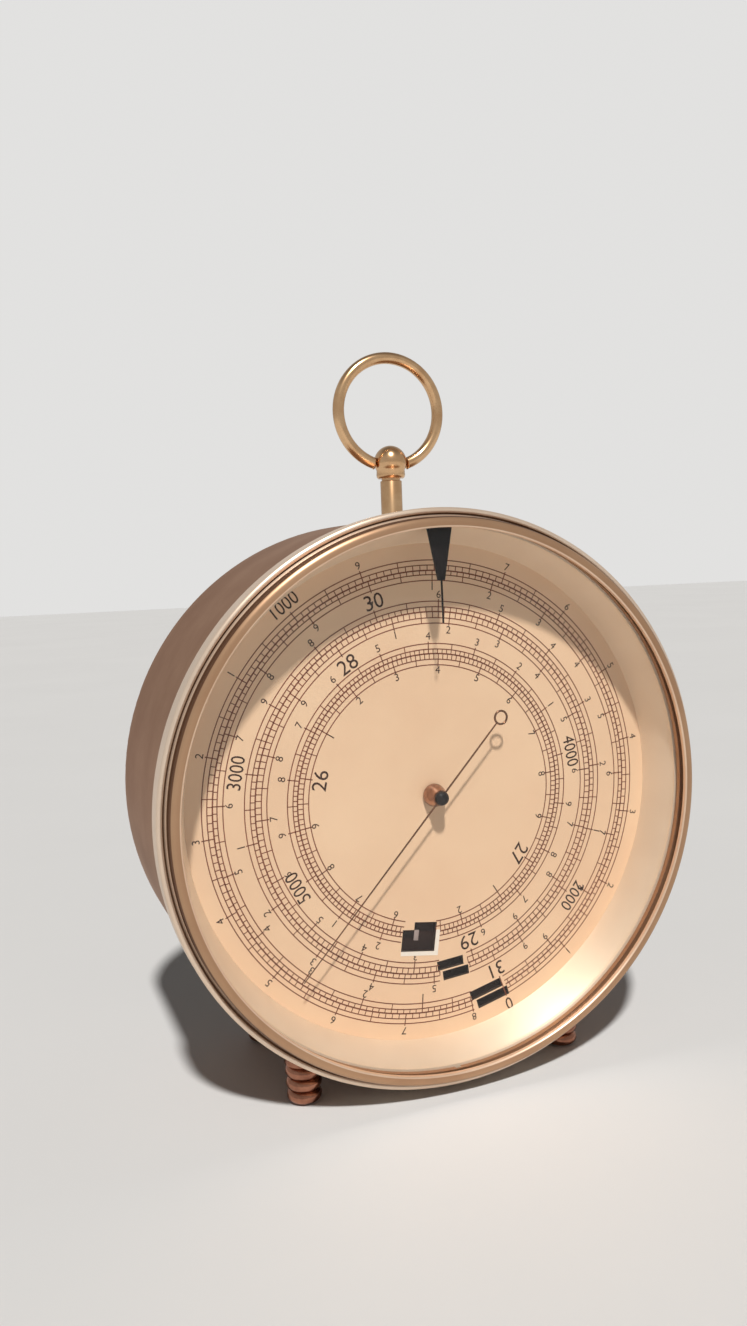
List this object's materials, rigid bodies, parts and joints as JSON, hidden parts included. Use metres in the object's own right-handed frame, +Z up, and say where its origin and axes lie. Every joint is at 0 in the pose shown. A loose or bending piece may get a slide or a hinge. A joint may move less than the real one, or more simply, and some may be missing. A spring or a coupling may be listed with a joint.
{
  "type": "aneroid barometer",
  "caption": "Drum-cased aneroid barometer on turned feet, with a hanging ring, a turning bezel and index, a three-circle dial, and a pointer geared to the capsule.",
  "frame": {"origin": "on the floor, under the middle of the object's box", "axes": "+Z up through the hanging ring, the dial faces -Y, +X to the reader's right"},
  "size_m": [0.1435, 0.0654, 0.1877],
  "materials": {
    "drum_lacquer": "dark lacquered brass, polished",
    "bezel_brass": "polished lacquered brass",
    "ring_brass": "polished brass",
    "foot_brass": "polished red brass",
    "movement_brass": "brushed brass",
    "silvered": "polished silvering",
    "dial_paint": "satin cream",
    "black_enamel": "satin black",
    "white_enamel": "satin white",
    "blued_steel": "heat blued",
    "steel": "fine ground",
    "nickel_silver": "nickel silver sheet",
    "sector_alloy": "blackened",
    "clear_glass": "clear, bevelled edge"
  },
  "bodies": {
    "case": {"case_barrel": "drum_lacquer", "reflector_flange": "silvered", "dial_plate": "dial_paint", "dial_pillars": "movement_brass", "dial_screws": "movement_brass", "base_plate": "movement_brass", "case_screws": "ring_brass", "capsule": "nickel_silver", "capsule_stud": "movement_brass", "spring_block": "movement_brass", "block_screws": "steel", "main_spring": "steel", "spring_clamp": "movement_brass", "spring_screws": "steel", "rock_brackets": "movement_brass", "bracket_screws": "steel", "lower_movement_plate": "movement_brass", "upper_movement_plate": "movement_brass", "movement_pillars": "movement_brass", "movement_screws": "blued_steel", "centre_pipe": "movement_brass", "sector_clip": "steel", "hairspring": "blued_steel", "hairspring_stud": "movement_brass", "hanger_stem": "ring_brass", "hanger_nut": "movement_brass", "foot_front_left": "foot_brass", "foot_front_right": "foot_brass", "foot_rear_left": "foot_brass", "foot_rear_right": "foot_brass"},
    "centre": {"centre_arbor": "steel", "centre_pinion": "movement_brass", "hairspring_collet": "movement_brass", "pointer_collet": "ring_brass", "pointer": "blued_steel", "pointer_cap": "black_enamel"},
    "train": {"train_arbor": "steel", "train_wheel": "movement_brass", "train_pinion": "movement_brass"},
    "sector": {"indicator_sector": "sector_alloy", "ring_marks": "white_enamel", "sector_pin": "steel"},
    "link": {"sector_link": "movement_brass"},
    "rock": {"rock_shaft": "steel", "rock_arm": "movement_brass", "rock_crank": "movement_brass"},
    "lever": {"main_lever": "movement_brass", "compensation_strip": "steel", "capsule_post": "movement_brass", "knife_edge": "steel", "lever_link": "steel"},
    "bezel_group": {"bezel": "bezel_brass", "glass": "clear_glass", "glass_ring": "movement_brass", "index_wedge": "black_enamel"},
    "hanging_ring": {"hanger_ring": "ring_brass"},
    "adjuster": {"adjusting_screw": "steel"}
  },
  "joints": [
    {"name": "sector_swing", "type": "hinge", "parent": "case", "child": "sector", "pos_m": [0, -0.01535, 0.0736], "axis": [0, 1, 0], "range_deg": [-26.7, 0.94], "stiffness_Nm_per_rad": 0.5},
    {"name": "train_turn", "type": "hinge", "parent": "case", "child": "train", "pos_m": [0.00179, -0.00905, 0.05268], "axis": [0, 1, 0], "range_deg": [-256.36, 9.06]},
    {"name": "pointer_turn", "type": "hinge", "parent": "case", "child": "centre", "pos_m": [0, -0.01305, 0.0736], "axis": [0, 1, 0], "range_deg": [-36.19, 1025.38], "deforming": ["hairspring"]},
    {"name": "link_turn", "type": "hinge", "parent": "sector", "child": "link", "pos_m": [0.00268, -0.01385, 0.0853], "axis": [0, 1, 0], "range_deg": [-0.96, 26.72]},
    {"name": "rock_turn", "type": "hinge", "parent": "case", "child": "rock", "pos_m": [0.036, 0.01245, 0.0776], "axis": [0, 0, 1], "range_deg": [-12.05, 0.44]},
    {"name": "lever_bend", "type": "hinge", "parent": "case", "child": "lever", "pos_m": [-0.034, 0.00825, 0.0736], "axis": [0, 0, 1], "range_deg": [-0.05, 1.34], "deforming": ["main_spring", "capsule"]},
    {"name": "bezel_turn", "type": "hinge", "parent": "case", "child": "bezel_group", "pos_m": [0, -0.02805, 0.0736], "axis": [0, 1, 0], "continuous": true},
    {"name": "ring_swing", "type": "hinge", "parent": "case", "child": "hanging_ring", "pos_m": [0, 0.00235, 0.1588], "axis": [1, 0, 0], "range_deg": [-110, 110]},
    {"name": "adjuster_turn", "type": "hinge", "parent": "case", "child": "adjuster", "pos_m": [-0.04, 0.02895, 0.0736], "axis": [0, 1, 0], "range_deg": [-180, 180]}
  ],
  "couplings": [
    {"joint": "train_turn", "follows": "sector_swing", "ratio": 9.6},
    {"joint": "pointer_turn", "follows": "sector_swing", "ratio": -38.4},
    {"joint": "link_turn", "follows": "sector_swing", "ratio": -1},
    {"joint": "rock_turn", "follows": "sector_swing", "ratio": 0.4505},
    {"joint": "lever_bend", "follows": "sector_swing", "ratio": -0.0499}
  ]
}
